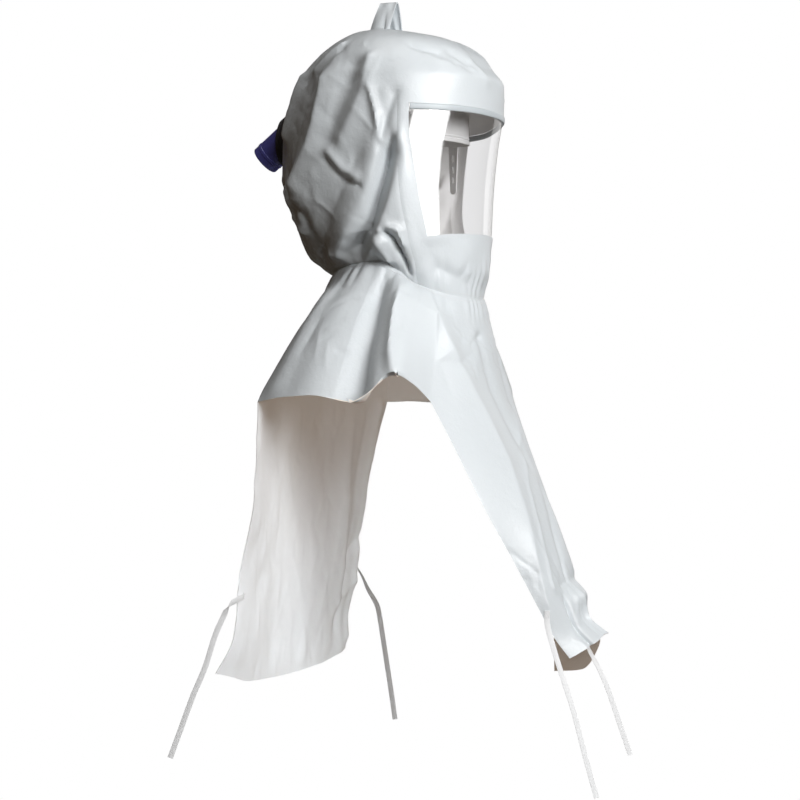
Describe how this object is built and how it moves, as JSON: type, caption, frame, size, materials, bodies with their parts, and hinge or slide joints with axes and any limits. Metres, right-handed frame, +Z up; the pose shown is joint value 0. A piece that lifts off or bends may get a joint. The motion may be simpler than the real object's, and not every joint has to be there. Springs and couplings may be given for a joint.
{
  "type": "respirator hood",
  "caption": "Loose respirator hood of coated cloth with a curved clear visor, a rear air inlet, a head harness, a gathered neck and a shoulder cape with front and back bibs and tie tapes.",
  "frame": {"origin": "underside of the crown strap, where it rests on the top of the wearer's head", "axes": "+Z up, -Y the way the wearer faces, +X to the wearer's left"},
  "size_m": [0.4725, 0.5133, 1.0094],
  "materials": {
    "coated_cloth": "light grey coated nonwoven, slightly glossy outside and matt off-white inside",
    "clear_visor": "clear flexible plastic sheet, glossy",
    "rim_plastic": "grey satin plastic",
    "elastic": "woven elastic, matt",
    "tie_tape": "narrow woven tape, matt",
    "harness_plastic": "light grey satin plastic",
    "inlet_plastic": "dark blue moulded plastic",
    "collar_rubber": "black rubber, satin"
  },
  "bodies": {
    "root": {"hood_bag": "coated_cloth", "hood_front": "coated_cloth", "visor_lens": "clear_visor", "brow_rim": "rim_plastic", "neck_band": "elastic", "hang_loop": "coated_cloth", "front_cape": "coated_cloth", "back_cape": "coated_cloth", "tie_back_right": "tie_tape", "tie_back_left": "tie_tape", "tie_front_right": "tie_tape", "tie_front_left": "tie_tape", "headband": "harness_plastic", "crown_strap": "harness_plastic", "temple_strap_right": "harness_plastic", "temple_strap_left": "harness_plastic", "air_inlet": "inlet_plastic", "inlet_collar": "collar_rubber", "air_duct": "harness_plastic"}
  },
  "joints": []
}
